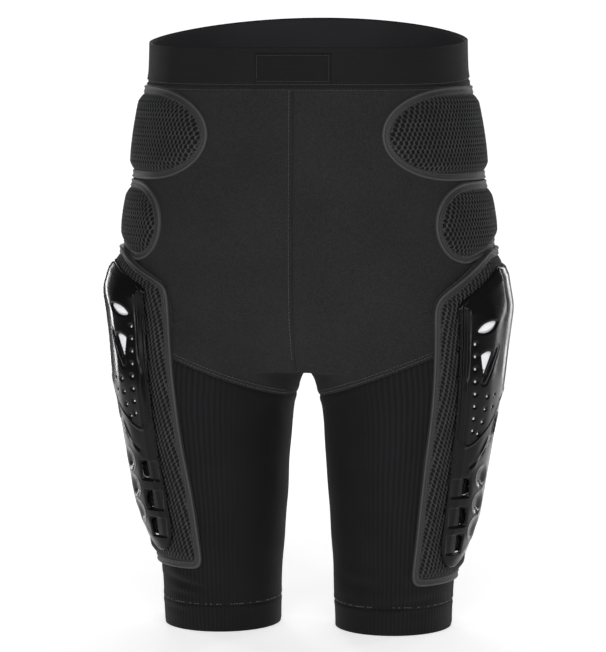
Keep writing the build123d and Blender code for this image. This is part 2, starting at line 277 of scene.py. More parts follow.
# --- Materials ---
class Nodes:
    """A material being built from nodes."""

    def __init__(self, name, specular, sheen=0.0, **settings):
        self.material = bpy.data.materials.new(name)
        self.material.use_nodes = True
        self.tree = self.material.node_tree
        self.shader = self.tree.nodes["Principled BSDF"]
        settings.update(Specular_IOR_Level=specular, Sheen_Weight=sheen)
        for key, value in settings.items():
            self.put(self.shader.inputs[key.replace("_", " ")], value)

    def add(self, kind, **settings):
        node = self.tree.nodes.new("ShaderNode" + kind)
        for key, value in settings.items():
            if key in node.bl_rna.properties:
                setattr(node, key, value)
            else:
                self.put(node.inputs[key.replace("_", " ")], value)
        return node

    def put(self, socket, value):
        if isinstance(value, bpy.types.NodeSocket):
            self.tree.links.new(value, socket)
        else:
            socket.default_value = value

    def math(self, operation, *values):
        node = self.add("Math", operation=operation)
        for socket, value in zip(node.inputs, values):
            self.put(socket, value)
        return node.outputs[0]

    def total(self, *terms):
        """The sum of (value, weight) terms."""
        *rest, (value, weight) = terms
        result = self.math("MULTIPLY", value, weight)
        for value, weight in reversed(rest):
            result = self.math("MULTIPLY_ADD", value, weight, result)
        return result

    def mix(self, factor, a, b):
        node = self.add("Mix", data_type="RGBA")
        self.put(node.inputs[0], factor)
        self.put(node.inputs[6], a)
        self.put(node.inputs[7], b)
        return node.outputs[2]

    def noise(self, scale, detail=3.0, vector=None):
        vector = vector or self.add("TexCoord").outputs["Object"]
        return self.add("TexNoise", Vector=vector, Scale=scale, Detail=detail).outputs[0]

    def ramp(self, value, low, high, start=0.0, end=1.0):
        ends = {"From_Min": low, "From_Max": high, "To_Min": start, "To_Max": end}
        return self.add("MapRange", interpolation_type="SMOOTHSTEP", Value=value, **ends).outputs[0]

    def waves(self, coordinate, period):
        """0 to 1 and back along a coordinate in metres, once each period in millimetres."""
        turns = self.math("MULTIPLY", coordinate, 2 * pi / (period * MM))
        return self.math("MULTIPLY_ADD", self.math("SINE", turns), 0.5, 0.5)

    def cloth(self):
        uv = self.add("UVMap", uv_map="Cloth").outputs[0]
        split = self.add("SeparateXYZ", Vector=uv)
        return split.outputs[0], split.outputs[1]

    def bump(self, height, distance, strength=1.0, under=None):
        node = self.add("Bump", Height=height, Distance=distance * MM, Strength=strength)
        if under is not None:
            self.put(node.inputs["Normal"], under)
        return node.outputs[0]

    def finish(self, color=None, roughness=None, normal=None):
        for key, value in (("Base Color", color), ("Roughness", roughness), ("Normal", normal)):
            if value is not None:
                self.put(self.shader.inputs[key], value)
        return self.material


def grey(value, blue=0.0, warm=0.0):
    return (value * (1 + warm), value, value * (1 + blue), 1.0)


def twill(name, value):
    """Brushed stretch twill: fine diagonal grain with a slight mottle."""
    n = Nodes(name, 0.12, sheen=0.04)
    u, v = n.cloth()
    diagonal = n.waves(n.math("ADD", u, v), 1.1)
    across = n.waves(n.math("MULTIPLY_ADD", v, -0.35, u), 0.62)
    grain = n.math("MULTIPLY_ADD", across, 0.4, diagonal)
    mottle = n.noise(640.0)
    broad = n.noise(16.0, 1.0)
    light = n.total((mottle, 0.7), (grain, 0.16), (broad, 0.16))
    color = n.mix(n.ramp(light, 0.34, 0.78), grey(value * 0.55, warm=0.05), grey(value * 1.4, warm=0.05))
    normal = n.bump(grain, 0.10, 0.55, n.bump(mottle, 0.25, 0.5, n.bump(broad, 1.6, 0.5)))
    return n.finish(color, n.ramp(mottle, 0.2, 0.8, 0.74, 0.92), normal)


def rib_knit(name, value):
    """Compression knit: broad ribs down the thigh over fine wales."""
    n = Nodes(name, 0.12, sheen=0.03)
    u, v = n.cloth()
    wander = n.math("MULTIPLY", n.math("SUBTRACT", n.noise(30.0, 2.0), 0.5), 0.0022)
    across = n.math("ADD", u, wander)
    ribs, wales, courses = n.waves(across, 4.6), n.waves(across, 1.15), n.waves(v, 0.9)
    strength = n.add("Attribute", attribute_name="ribs").outputs["Fac"]
    broad = n.noise(26.0, 2.0)
    fuzz = n.noise(900.0, 2.0)
    ridges = n.math("MULTIPLY", ribs, strength)
    tone = n.total((wales, 0.14), (broad, 0.3), (ridges, 0.34), (fuzz, 0.6))
    color = n.mix(n.ramp(tone, 0.3, 1.0), grey(value * 0.42, 0.08), grey(value * 1.45, 0.14))
    knit = n.bump(n.math("MULTIPLY_ADD", courses, 0.5, wales), 0.12, 0.6)
    relief = n.bump(ridges, 0.45, 0.45, knit)
    return n.finish(color, n.ramp(fuzz, 0.2, 0.8, 0.7, 0.88), n.bump(broad, 1.4, 0.4, relief))


def band_weave(name, value):
    """Flat woven elastic: fine lengthwise cords crossed by a tight weft."""
    n = Nodes(name, 0.15, sheen=0.03)
    u, v = n.cloth()
    cords, weft = n.waves(v, 1.5), n.waves(u, 0.8)
    fuzz, broad = n.noise(700.0), n.noise(18.0, 2.0)
    tone = n.total((cords, 0.25), (broad, 0.4), (fuzz, 0.5))
    color = n.mix(n.ramp(tone, 0.2, 1.0), grey(value * 0.7, 0.1), grey(value * 1.35, 0.12))
    weave = n.bump(n.math("MULTIPLY_ADD", weft, 0.5, cords), 0.12, 0.6)
    return n.finish(color, n.ramp(fuzz, 0.2, 0.8, 0.72, 0.88), n.bump(broad, 1.2, 0.35, weave))


def net(name, value):
    """Spacer mesh: pale yarn between holes darkened by painted shade. The holes are dips in the mesh, and
    its hole values paint the shade inside them.
    """
    n = Nodes(name, 0.14, sheen=0.03)
    u, v = n.cloth()
    hole_and_painted_shade = n.add("Attribute", attribute_name="hole_and_painted_shade").outputs["Fac"]
    fibre = n.waves(n.math("MULTIPLY_ADD", v, 1.6, u), 0.75)
    fuzz, broad = n.noise(650.0), n.noise(45.0)
    tone = n.total((fibre, 0.3), (broad, 0.45), (fuzz, 0.45))
    yarn = n.mix(n.ramp(tone, 0.25, 1.0), grey(value * 0.6, 0.05), grey(value * 2.1, 0.07))
    # Painted shade: each hole is coloured near black for the shade inside it.
    color = n.mix(n.ramp(hole_and_painted_shade, 0.08, 0.6), yarn, grey(0.0025))
    normal = n.bump(n.math("ADD", fibre, fuzz), 0.16, 0.7)
    return n.finish(color, n.ramp(fuzz, 0.2, 0.8, 0.52, 0.75), normal)


def tape(name, value):
    """Sewn binding: tight cross weave with a rolled edge, its shine a painted highlight."""
    n = Nodes(name, 0.35, sheen=0.05, Sheen_Roughness=0.4)
    u, v = n.cloth()
    threads = n.waves(n.math("MULTIPLY_ADD", v, 0.5, u), 0.9)
    fuzz = n.noise(800.0)
    edge = n.add("Attribute", attribute_name="edge").outputs["Fac"]
    tone = n.total((threads, 0.35), (fuzz, 0.6))
    base = n.mix(n.ramp(tone, 0.2, 0.9), grey(value * 0.55), grey(value * 1.5))
    # Painted highlight: the edge values colour the rolled edge lighter.
    color = n.mix(n.math("MULTIPLY", edge, 0.85), base, grey(value * 3.2))
    return n.finish(color, n.ramp(tone, 0.2, 0.9, 0.5, 0.72), n.bump(tone, 0.22, 0.8))


def moulded(name, value, rough):
    """Moulded plastic: fine orange peel, faint flow marks and a few scuffs."""
    n = Nodes(name, 0.14)
    peel, flow = n.noise(520.0, 2.0), n.noise(14.0, 2.0)
    where = n.add("TexCoord").outputs["Object"]
    stretch = n.add("Mapping", Vector=where, Scale=(90.0, 90.0, 900.0)).outputs[0]
    scuffs = n.ramp(n.noise(1.0, 4.0, stretch), 0.66, 0.74)
    dust = n.noise(1400.0, 2.0)
    tone = n.total((scuffs, 0.35), (flow, 0.6))
    color = n.mix(n.ramp(tone, 0.15, 0.9), grey(value * 0.75), grey(value * 1.5))
    shine = n.total((scuffs, 0.1), (n.ramp(flow, 0.25, 0.75, rough - 0.07, rough + 0.07), 1.0))
    normal = n.bump(peel, 0.05, 0.5, n.bump(dust, 0.02, 0.4, n.bump(flow, 1.0, 0.2)))
    return n.finish(color, shine, normal)


def foam(name, value):
    """Closed-cell foam: a skin of small pores."""
    n = Nodes(name, 0.3)
    cells = n.add("TexVoronoi", Vector=n.add("TexCoord").outputs["Object"], Scale=900.0).outputs["Distance"]
    patch = n.noise(60.0)
    tone = n.total((cells, 0.5), (patch, 0.6))
    color = n.mix(n.ramp(tone, 0.1, 0.9), grey(value * 0.86, 0.02), grey(min(value * 1.08, 0.95), 0.03))
    return n.finish(color, n.ramp(patch, 0.2, 0.8, 0.65, 0.85), n.bump(cells, 0.3, 0.6))


def thread(name, value):
    """Sewing thread: two plies with a soft shine."""
    n = Nodes(name, 0.5, sheen=0.3)
    plies = n.waves(n.math("ADD", *n.cloth()), 0.45)
    fuzz = n.noise(1500.0, 2.0)
    color = n.mix(n.total((plies, 0.5), (fuzz, 0.5)), grey(value * 0.5), grey(value * 1.5))
    return n.finish(color, n.ramp(fuzz, 0.2, 0.8, 0.4, 0.65), n.bump(plies, 0.1, 0.7))


LOOKS = {
    "brief_fabric": twill("brief_cloth", 0.0152),
    "rib_fabric": rib_knit("rib_cloth", 0.0056),
    "band_elastic": band_weave("band_cloth", 0.0064),
    "lining": band_weave("lining_cloth", 0.019),
    "spacer_mesh": net("spacer_net", 0.030),
    "guard_mesh": net("guard_net", 0.027),
    "binding": tape("binding_tape", 0.0165),
    "foam": foam("core_foam", 0.05),
    "white_foam": foam("insert_foam", 0.8),
    "shell": moulded("shell_plastic", 0.005, 0.2),
    "label": band_weave("label_cloth", 0.0048),
}
THREAD = thread("seam_thread", 0.026)
# The hem thread is coloured pale: painted glints on the stitches.
PAINTED_GLINT_THREAD = thread("painted_glint_thread", 0.16)


# --- Garment ---
def tube_mesh(tube, low, high, mirror):
    """Points and faces of a tube closed at both ends."""
    around, step = 96, 6.0
    z = np.arange(low, high + step / 2, step)
    phi = np.linspace(0, 2 * pi, around, endpoint=False)
    rings = [tube.place(phi * tube.radius(h), np.full(around, h)) for h in z]
    points = np.concatenate(rings) * [mirror, 1, 1]
    faces = [list(range(around))[::-1], [len(points) - around + i for i in range(around)]]
    faces += bands(len(z), around)
    return points, [f[::-1] for f in faces] if mirror < 0 else faces


def body_mesh():
    """The whole garment as one smooth skin, still closed at the waist and hems."""
    points, faces, count = [], [], 0
    for tube, low, high, mirror in ((TORSO, CROTCH_Z, 600, 1), (LEG, -24, 288, 1), (LEG, -24, 288, -1)):
        p, f = tube_mesh(tube, low, high, mirror)
        points.append(p)
        faces += [[i + count for i in face] for face in f]
        count += len(p)
    piece = placed("skin", new_mesh("skin", np.concatenate(points), faces))
    remesh = piece.modifiers.new("remesh", "REMESH")
    remesh.mode = "VOXEL"
    remesh.voxel_size = 3.2
    frozen(piece)
    p = coordinates(piece)
    inside = (p[:, 2] > -16) & (p[:, 2] < 585)
    p[inside] = on_body(p[inside])
    piece.data.vertices.foreach_set("co", p.ravel())
    return piece


def cut(mesh, point, normal, keep=lambda face: True):
    """Cuts new edges along a plane."""
    faces = [f for f in mesh.faces if keep(f)]
    geometry = faces + list({e for f in faces for e in f.edges}) + list({v for f in faces for v in f.verts})
    bmesh.ops.bisect_plane(mesh, geom=geometry, plane_co=point, plane_no=normal, dist=0.01)


def region(x, y, z):
    """Which sewn piece a place on the skin belongs to."""
    side = "left" if x > 0 else "right"
    if z < 0 or z - rim(y) > WAIST_Z:
        return None
    if z - rim(y) > BAND_Z:
        return "waistband"
    if z < HEM_Z:
        return "hem_band_" + side
    part = "brief" if z > SEAM_Z + SEAM_RISE * abs(x) else "leg"
    return f"{part}_{'front' if y < 0 else 'back'}_{side}"


def cut_skin(skin):
    """The skin's points and faces, sorted into sewn pieces."""
    mesh = bmesh.new()
    mesh.from_mesh(skin.data)
    for normal in ((1, 0, 0), (0, 1, 0), (0, 0, 1)):
        cut(mesh, (0, 0, 0), normal)
    cut(mesh, (0, 0, HEM_Z), (0, 0, 1))
    for side in SIDES.values():
        near = lambda f: f.calc_center_median().x * side > 0 and 150 < f.calc_center_median().z < 320
        cut(mesh, (0, 0, SEAM_Z), (-side * SEAM_RISE, 0, 1), near)
    for v in mesh.verts:
        v.co.z -= rim(v.co.y)
    for z in (BAND_Z, WAIST_Z):
        cut(mesh, (0, 0, z), (0, 0, 1))
    for v in mesh.verts:
        v.co.z += rim(v.co.y)
    mesh.verts.index_update()
    groups = {}
    for f in mesh.faces:
        name = region(*f.calc_center_median())
        if name:
            groups.setdefault(name, []).append([v.index for v in f.verts])
    points = np.array([v.co for v in mesh.verts])
    mesh.free()
    return points, groups


# Folds: (x, z) of both ends in the front view, half width, depth. Positive x is the wearer's left.
FOLDS = [
    (-126, 46, -84, 38, 4.0, 2.6),
    (-120, 34, -92, 31, 3.5, 1.3),
    (-128, 18, -106, 17, 3.0, 0.9),
    (118, 30, 64, 24, 4.5, 2.2),
    (124, 22, 88, 18, 3.5, 1.2),
    (96, 44, 40, 46, 5.0, 1.4),
    (-62, 290, -26, 286, 3.5, 0.9),
    (24, 288, 58, 294, 3.5, 0.8),
    (-14, 252, -60, 272, 5.0, 0.9),
    (14, 252, 56, 272, 5.0, 0.8),
    (-8, 246, -24, 300, 5.0, 0.6),
]


def to_segment(x, z, x0, z0, x1, z1):
    """Distance from a segment, and how far along it from 0 to 1."""
    dx, dz = x1 - x0, z1 - z0
    t = np.clip(((x - x0) * dx + (z - z0) * dz) / (dx * dx + dz * dz), 0, 1)
    return np.hypot(x - x0 - t * dx, z - z0 - t * dz), t


def seam_distance(p):
    """Distance from the nearest seam."""
    x, y, z = np.abs(p[:, 0]), np.abs(p[:, 1]), p[:, 2]
    thigh = np.abs(z - SEAM_Z - SEAM_RISE * x) * cos(atan(SEAM_RISE))
    band = z - rim(p[:, 1]) - BAND_Z
    centre = np.where((z > SEAM_Z + SEAM_RISE * x) & (band < 0), x, 99.0)
    side = np.where((x > 120) & (band < 0), y, 99.0)
    return np.minimum.reduce([thigh, centre, side, np.abs(band)])


WAVES = [(RNG.normal(size=3) / 42.0, RNG.uniform(0, 6.28)) for _ in range(9)]


def drape(p):
    """How far the fabric stands in or out of its smooth shape."""
    x, z = p[:, 0], p[:, 2]
    d = seam_distance(p)
    out = 0.35 * bell(d - 4.5, 2.6) - 0.95 * bell(d, 1.3)
    hem = np.abs(z - HEM_Z)
    out += 0.3 * bell(hem - 3.0, 2.0) - 0.55 * bell(hem, 1.4)
    calm = smooth(z - rim(p[:, 1]), BAND_Z, BAND_Z - 40)
    for direction, phase in WAVES:
        out += 0.16 * np.sin(p @ direction * 2.2 + phase) * calm
    front = p[:, 1] < 10
    for x0, z0, x1, z1, width, depth in FOLDS:
        d, t = to_segment(x, z, x0, z0, x1, z1)
        fade = np.sin(np.clip(t * 0.8 + 0.1, 0, 1) * pi)
        above = np.where(z > z0 + (z1 - z0) * t, 1.0, 0.35)
        out += front * depth * fade * (0.6 * above * bell(d - width * 1.9, width) - bell(d, width * 0.8))
    return out


def panel(name, points, faces, slot):
    """One sewn piece of fabric, cut from the skin."""
    used = np.unique(np.concatenate([np.array(f) for f in faces]))
    index = {old: new for new, old in enumerate(used)}
    piece = make(name, points[used], [[index[i] for i in f] for f in faces], LOOKS[slot])
    if FINE:
        split = piece.modifiers.new("split", "SUBSURF")
        split.subdivision_type = "SIMPLE"
        split.levels = split.render_levels = 1
        frozen(piece)
    p = (coordinates(piece) - [0, AXIS_Y, 0]) / MM
    low, high = p[:, 2].min(), p[:, 2].max()
    q = on_body(p, 3)
    q[:, 2] = np.where((p[:, 2] < 0.05) | (p[:, 2] - rim(p[:, 1]) > WAIST_Z - 0.05), p[:, 2], q[:, 2])
    q = np.clip(q, [-400, -400, low], [400, 400, high])
    q = q + body_normal(q) * (drape(q) * smooth(q[:, 2], 0.0, 3.0))[:, None]
    q[:, 2] = np.maximum(q[:, 2], 0)
    piece.data.vertices.foreach_set("co", (q * MM + [0, AXIS_Y, 0]).ravel())
    side = 1 if q[:, 0].mean() > 0 else -1
    if slot == "rib_fabric":
        u = np.arctan2(q[:, 1], side * q[:, 0] - LEG.cx(q[:, 2])) * 74.0
        point_value(piece, "ribs", 0.12 + 0.88 * smooth(side * q[:, 0], 40, 96))
    else:
        u = np.arctan2(q[:, 0], -q[:, 1]) * 135.0
    cloth_map(piece, np.stack([u, q[:, 2] - (rim(q[:, 1]) if slot == "band_elastic" else 0)], 1))
    thicken(piece, 1.7)
    stand_for(piece, slot, name)


def stitches(
    name, points, normals, length=2.4, pitch=3.4, radius=0.24, slot="binding", thread=THREAD, share=1.0
):
    """A row of stitches along a line of points. Each is a short thread that dives in at both ends."""
    steps = norm(np.diff(points, axis=0), axis=1)
    run = np.r_[0, np.cumsum(steps)]
    verts, faces, uv = [], [], []
    count = int(run[-1] / pitch)
    ring, rows = 5, np.linspace(0, 1, 5)
    for k in range(count):
        if share < 1 and RNG.random() > share:
            continue
        at = (k + 0.5) * pitch + RNG.normal() * 0.08
        s = at + (rows - 0.5) * length
        c = np.stack([np.interp(s, run, points[:, i]) for i in range(3)], 1)
        n = np.array([np.interp(at, run, normals[:, i]) for i in range(3)])
        n /= norm(n)
        t = (c[-1] - c[0]) / norm(c[-1] - c[0])
        b = np.cross(t, n)
        base = len(verts)
        for j, row in enumerate(rows):
            lift = radius * 1.1 * sin(pi * row) - radius * 0.25
            r = radius * (0.55 + 0.45 * sin(pi * row))
            for i in range(ring):
                w = 2 * pi * i / ring
                verts.append(c[j] + n * (lift + r * sin(w)) + b * r * cos(w))
                uv.append((s[j], i * 0.35))
        faces += [[base + i for i in face] for face in bands(len(rows), ring)]
        faces.append([base + i for i in range(ring)][::-1])
        faces.append([base + (len(rows) - 1) * ring + i for i in range(ring)])
    piece = make(name, verts, faces, thread)
    cloth_map(piece, uv)
    stand_for(piece, slot)


def skin_line(points):
    """The line laid on the draped fabric, with its normals."""
    p = on_body(np.asarray(points, float), 6)
    n = body_normal(p)
    return p + n * (drape(p) + 0.12)[:, None], n


def seam_stitches():
    """Rows beside the thigh seams, the centre seams, the waistband seam and the hems."""
    ends = {"front": -1, "back": 1}
    for hand, side in SIDES.items():
        for end, sign in ends.items():
            x = np.linspace(14.0, 150.0, 150)
            for row, drop in enumerate((2.6, 5.4)):
                z = SEAM_Z + SEAM_RISE * x + drop
                across = (x - LEG.cx(z)) / (LEG.a(z) + 2)
                y = sign * LEG.b(z) * np.sqrt(np.clip(1 - across**2, 0.02, 1))
                line = np.c_[side * x, y, z]
                stitches(f"thigh_seam_stitches_{end}_{row}_{hand}", *skin_line(line))
        phi = np.linspace(-pi, pi, 240)
        z = np.full(240, HEM_Z + 1.6)
        line = np.c_[side * (LEG.cx(z) + LEG.a(z) * np.cos(phi)), LEG.b(z) * np.sin(phi), z]
        name = "hem_stitches_" + hand
        # Pale thread: painted glints on the hem stitches.
        stitches(name, *skin_line(line), 1.5, 2.6, 0.2, "rib_fabric", PAINTED_GLINT_THREAD, share=0.55)
    for end, sign in ends.items():
        z = np.linspace(252.0, BAND_Z + rim(sign * 106) - 1.5, 160)
        line = np.c_[np.full(160, -3.0), sign * TORSO.b(z) + TORSO.cy(z), z]
        stitches("centre_seam_stitches_" + end, *skin_line(line))
    phi = np.linspace(-pi, pi, 500)
    for row, drop in enumerate((-2.4, 2.6)):
        y = 107 * np.sin(phi)
        line = np.c_[146.5 * np.cos(phi), y, BAND_Z + rim(y) + drop]
        stitches(f"waist_seam_stitches_{row}", *skin_line(line), 2.0, 3.0, 0.2)


def lining():
    """Soft facing inside the waistband, rolled over just below the rim."""
    phi = np.linspace(0, 2 * pi, 300, endpoint=False)
    top, low = WAIST_Z, BAND_Z
    rows = [(top - 0.6, -1.9), (top - 3, -2.3), (top - 12, -2.4), (low + 6, -2.4), (low + 1, -2.2)]
    rows += [(low, -2.6), (low + 6, -3.3), (top - 12, -3.3), (top - 3, -3.2), (top - 0.6, -2.6)]
    points = []
    for z, h in rows:
        y = (106 + h) * np.sin(phi)
        points.append(np.c_[(145.4 + h) * np.cos(phi), y, z + rim(y)])
    faces = bands(len(rows), len(phi), closed=True)
    piece = make("waistband_lining_cloth", np.concatenate(points), faces, LOOKS["lining"])
    cloth_map(piece, [(a * 140, z) for z, _ in rows for a in phi])
    stand_for(piece, "lining", "waistband_lining")


def label():
    """A plain woven patch with a folded edge, its weave a shade off the waistband's."""
    w, h, x_count, z_count = 67.0, 26.0, 80, 32
    uu, vv = np.meshgrid(np.linspace(-1, 1, x_count), np.linspace(-1, 1, z_count))
    x = uu * w / 2
    z = BAND_Z - 5 + 3.5 + h / 2 + vv * h / 2
    p = on_body(np.stack([x, -105 * np.sqrt(1 - (x / 145) ** 2), z], -1).reshape(-1, 3))
    near = np.minimum((1 - np.abs(uu)) * w / 2, (1 - np.abs(vv)) * h / 2).ravel()
    rise = 0.5 + 0.35 * smooth(near, 0, 1.0) - 0.25 * bell(near - 2.2, 0.6)
    p = p + body_normal(p) * rise[:, None]
    piece = make("waist_label_cloth", p, bands(z_count, x_count, around=False), LOOKS["label"])
    cloth_map(piece, np.c_[x.ravel(), z.ravel()])
    thicken(piece, 0.45)
    stand_for(piece, "label", "waist_label")
    border = np.array([(-1, -1), (1, -1), (1, 1), (-1, 1), (-1, -1)])
    t = np.linspace(0, 1, 40)[:, None]
    line = np.concatenate([(1 - t) * a + t * b for a, b in zip(border, border[1:])])
    line *= [w / 2 - 1.6, h / 2 - 1.6]
    q = on_body(np.c_[line[:, 0], 0 * line[:, 0] - 105, BAND_Z - 1.5 + h / 2 + line[:, 1]])
    n = body_normal(q)
    stitches("waist_label_stitches", q + n * 0.75, n, 1.5, 2.2, 0.16, "label")


def garment():
    skin = body_mesh()
    points, groups = cut_skin(skin)
    bpy.data.objects.remove(skin)
    slots = {"w": "band_elastic", "b": "brief_fabric", "l": "rib_fabric", "h": "rib_fabric"}
    for name, faces in sorted(groups.items()):
        panel(name, points, faces, slots[name[0]])
    lining()
    label()
    seam_stitches()


# --- Flat outlines ---
class Outline:
    """A closed line in flat coordinates, with its normals. spread says how far corners are rounded."""

    def __init__(self, corners, spread=3.5, step=0.6):
        p = np.asarray(corners, float)
        if np.sum(p[:, 0] * np.roll(p[:, 1], -1) - np.roll(p[:, 0], -1) * p[:, 1]) < 0:
            p = p[::-1]
        loop = np.vstack([p, p[:1]])
        run = np.r_[0, np.cumsum(norm(np.diff(loop, axis=0), axis=1))]
        count = int(run[-1] / step)
        at = np.linspace(0, run[-1], count, endpoint=False)
        line = np.stack([np.interp(at, run, loop[:, i]) for i in (0, 1)], 1)
        reach = int(3 * spread / step)
        weights = bell(np.arange(-reach, reach + 1) * step, spread * sqrt(2))
        weights /= weights.sum()
        self.line = sum(w * np.roll(line, k, axis=0) for k, w in zip(range(-reach, reach + 1), weights))
        along = np.roll(self.line, -1, axis=0) - np.roll(self.line, 1, axis=0)
        along /= norm(along, axis=1)[:, None]
        self.out = np.c_[along[:, 1], -along[:, 0]]
        self.tree = KDTree(count)
        for i, (x, z) in enumerate(self.line):
            self.tree.insert((x, z, 0), i)
        self.tree.balance()

    def depth(self, w, z):
        """How far inside the line each point is."""
        places = np.c_[w.ravel(), z.ravel()]
        found = np.array([self.tree.find((x, y, 0))[1] for x, y in places])
        away = places - self.line[found]
        ahead = (away * self.out[found]).sum(1)
        far = norm(away, axis=1)
        return np.where(far < 2.5, -ahead, -np.sign(ahead) * far).reshape(w.shape)

    def inset(self, d):
        """Every other point of the line, moved in by d."""
        return (self.line - self.out * d)[::2]


def both_halves(front):
    """A front edge, from top to bottom in flat coordinates, closed round the side by its mirror image."""
    front = np.asarray(front, float)
    return np.vstack([front, (front * [-1, 1])[::-1]])


def nose(top, bottom, tip, length, keep=lambda x, z: True):
    """A band's near-elliptical nose, as front-view points from its top to its bottom."""
    middle, half = (top + bottom) / 2, (top - bottom) / 2
    turns = np.radians(np.linspace(90, -90, 25))
    points = [(tip + length * (1 - cos(t)), middle + half * sin(t)) for t in turns]
    return [p for p in points if keep(*p)]


def arc(x0, z0, xm, x1, z1):
    """A shallow bow from one front-view point to another, passing xm halfway."""
    t = np.linspace(0, 1, 30)
    belly = xm - (x0 + x1) / 2
    return [(x0 + (x1 - x0) * k + 4 * belly * k * (1 - k), z0 + (z1 - z0) * k) for k in t]


def flatten(tube, points, h):
    return [(-tube.flat_of(x, z, h), z) for x, z in points]


def turned(degrees, z):
    """Flat coordinates of a place given by its angle from the side of the thigh, either way."""
    return radians(degrees) * float(THIGH.radius(z)), z


ROOF = 36.0 / 49.0  # slope of the guard's pointed top
UPPER_LINE = Outline(both_halves(flatten(TORSO, nose(493, 411, 80, 62), 5)))
LOWER_NOSE = nose(408, 337, 126, 27, lambda x, z: z > 350.5 - (172 - x) * ROOF)
LOWER_LINE = Outline(both_halves(flatten(TORSO, LOWER_NOSE + [(152, 337), (173, 351)], 4)))
GUARD_KNOTS = [(52, 96), (83, 100.2), (120, 104.8), (156, 110.3), (211, 117.6), (260, 121.5), (311, 123)]
GUARD_EDGE = [(172, 347)] + [(float(curve(*GUARD_KNOTS)(z)), z) for z in np.linspace(311, 52, 40)]
GUARD_LINE = Outline(both_halves(flatten(THIGH, GUARD_EDGE, 6)), spread=8.0)
SHELL_EDGE = [(178, 333), (144, 308)] + arc(144, 308, 138.5, 124.0, 90)
SHELL_TOE = [(52.5, 80.5), (48.5, 71), (42, 66), (34, 67.5), (20, 76.5), (8, 85), (0, 87.5)]
SHELL_FRONT = flatten(THIGH, SHELL_EDGE, 12.5) + [turned(-angle, z) for angle, z in SHELL_TOE]
SHELL_LINE = Outline(both_halves(SHELL_FRONT), spread=4.0)
# The shell's front edge as a width at each height, and its sloping top as a height at each width.
FRONT_W, FRONT_Z = np.array([(-w, z) for w, z in SHELL_FRONT[1 : -len(SHELL_TOE)]])[::-1].T
ROOF_W, ROOF_Z = np.array([(-w, z) for w, z in SHELL_FRONT[:2]]).T
TAIL_LINE = Outline([(-46, 453), (46, 453), (26, 303), (-26, 303)], spread=9.0)


# --- Pads ---
BLOW_FRAMES = 20
SEAM_BAND = 4.5  # the cover's sewn-down edge
HEM_HEIGHT = 2.1  # the cover's height above the fabric there


def grid(outline, step, reach=2.0):
    low, high = outline.line.min(0) - reach, outline.line.max(0) + reach
    w = np.arange(low[0], high[0] + step, step)
    z = np.arange(low[1], high[1] + step, step)
    return np.meshgrid(w, z)


def grid_faces(keep):
    """Faces between neighbouring grid points: quads where all four are kept, triangles where three are."""
    rows, columns = keep.shape
    index = np.arange(rows * columns).reshape(rows, columns)
    corners = np.stack([index[:-1, :-1], index[:-1, 1:], index[1:, 1:], index[1:, :-1]], -1).reshape(-1, 4)
    kept = keep.ravel()[corners]
    count = kept.sum(1)
    threes = zip(corners[count == 3], kept[count == 3])
    return corners[count == 4].tolist() + [face[ones].tolist() for face, ones in threes]


def compact(faces, *arrays):
    """The faces and arrays with unused points left out."""
    used = np.unique(np.concatenate([np.array(f) for f in faces]))
    place = np.zeros(used[-1] + 1, int)
    place[used] = np.arange(len(used))
    return [place[f].tolist() for f in faces], [a[used] for a in arrays]


def cells(outline, step, least, keep=lambda w, z: True):
    """Faces and points of the grid where it is deeper inside the outline than least."""
    w, z = grid(outline, step)
    depth = outline.depth(w, z)
    return compact(grid_faces((depth > least) & keep(w, z)), w.ravel(), z.ravel(), depth.ravel())


def inflate(outline):
    """Relative height of the pad's crown, from a cloth simulation of its cover blown up over its base."""
    w, z = grid(outline, 5.0, 6.0)
    depth = outline.depth(w, z)
    rows, columns = w.shape
    low = np.stack([w, 0 * w, z], -1).reshape(-1, 3) * MM
    high = low + [0, 1.5 * MM, 0]
    count = rows * columns
    quads = grid_faces(np.ones_like(w, bool))
    index = np.arange(count).reshape(rows, columns)
    border = np.r_[index[0], index[1:, -1], index[-1, -2::-1], index[-2:0:-1, 0]].tolist()
    walls = [[a, b, b + count, a + count] for a, b in zip(border, border[1:] + border[:1])]
    faces = quads + [[i + count for i in f[::-1]] for f in quads] + [wall[::-1] for wall in walls]
    mesh = new_mesh("blown", np.vstack([low, high]), faces)
    work = bmesh.new()
    work.from_mesh(mesh)
    bmesh.ops.recalc_face_normals(work, faces=work.faces)
    work.to_mesh(mesh)
    work.free()
    piece = placed("blown", mesh)
    pin = piece.vertex_groups.new(name="pin")
    held = (depth < SEAM_BAND).ravel()
    pin.add(list(range(count)) + (np.flatnonzero(held) + count).tolist(), 1.0, "REPLACE")
    cloth = piece.modifiers.new("cloth", "CLOTH")
    cloth.settings.vertex_group_mass = "pin"
    cloth.settings.use_pressure = True
    cloth.settings.uniform_pressure_force = 4.0
    cloth.settings.effector_weights.gravity = 0.0
    cloth.settings.tension_stiffness = cloth.settings.compression_stiffness = 25.0
    cloth.settings.bending_stiffness = 1.5
    cloth.point_cache.frame_start, cloth.point_cache.frame_end = 1, BLOW_FRAMES
    for number in range(1, BLOW_FRAMES + 1):
        SCENE.frame_set(number)
    graph = bpy.context.evaluated_depsgraph_get()
    moved = coordinates(piece.evaluated_get(graph))[count:, 1] / MM - 1.5
    SCENE.frame_set(1)
    bpy.data.objects.remove(piece)
    moved = np.clip(moved, 0, 60).reshape(rows, columns)
    moved = moved / max(np.percentile(moved[depth > SEAM_BAND], 97), 0.01)
    return w[0], z[:, 0], np.minimum(moved, 1.1)


